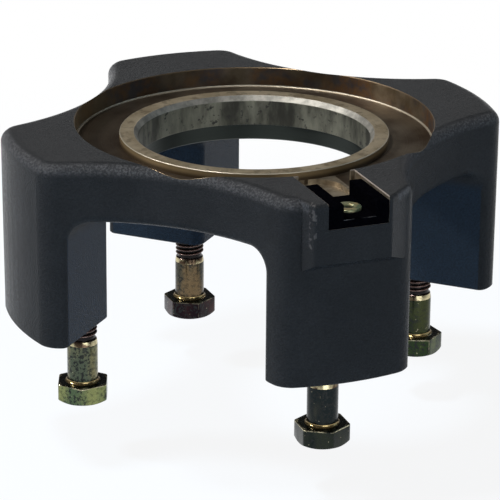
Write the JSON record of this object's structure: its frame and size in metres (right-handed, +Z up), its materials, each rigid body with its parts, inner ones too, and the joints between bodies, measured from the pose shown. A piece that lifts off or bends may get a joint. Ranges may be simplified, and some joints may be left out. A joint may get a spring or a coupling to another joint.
{
  "type": "tripod base adapter",
  "caption": "Four-legged cast adapter with a keyed round head seat, a raised seat ring and hexagon bolts in its feet.",
  "frame": {"origin": "on the axis of the seat bore, in the plane of the recess floor that the ring stands up from", "axes": "+Z up, out of the seat, along the seat bore; -Y towards the key at the front; +X to the right seen from the front"},
  "size_m": [0.197, 0.2024, 0.1066],
  "materials": {
    "casting_paint": "charcoal textured paint on cast aluminium, the seat machined and passivated to olive brown",
    "ring_steel": "turned, with a khaki passivated film",
    "key_black": "black oxide, satin",
    "bolt_zinc": "yellow iridescent zinc plate",
    "screw_zinc": "yellow iridescent zinc plate",
    "insert_steel": "bright stainless wire"
  },
  "bodies": {
    "adapter": {"body_casting": "casting_paint", "seat_ring": "ring_steel", "key_block": "key_black", "key_block_screw": "screw_zinc", "key_screw_insert": "insert_steel", "leg_thread_insert_front": "insert_steel", "leg_thread_insert_left": "insert_steel", "leg_thread_insert_back": "insert_steel", "leg_thread_insert_right": "insert_steel"},
    "bolt_front": {"foot_bolt_front": "bolt_zinc"},
    "bolt_left": {"foot_bolt_left": "bolt_zinc"},
    "bolt_back": {"foot_bolt_back": "bolt_zinc"},
    "bolt_right": {"foot_bolt_right": "bolt_zinc"}
  },
  "joints": [
    {"name": "bolt_front_travel", "type": "slide", "parent": "adapter", "child": "bolt_front", "axis": [0, 0, 1], "range_m": [-0.0215, 0.0085]},
    {"name": "bolt_left_travel", "type": "slide", "parent": "adapter", "child": "bolt_left", "axis": [0, 0, 1], "range_m": [-0.0215, 0.0085]},
    {"name": "bolt_back_travel", "type": "slide", "parent": "adapter", "child": "bolt_back", "axis": [0, 0, 1], "range_m": [-0.0215, 0.0085]},
    {"name": "bolt_right_travel", "type": "slide", "parent": "adapter", "child": "bolt_right", "axis": [0, 0, 1], "range_m": [-0.0215, 0.0085]}
  ]
}
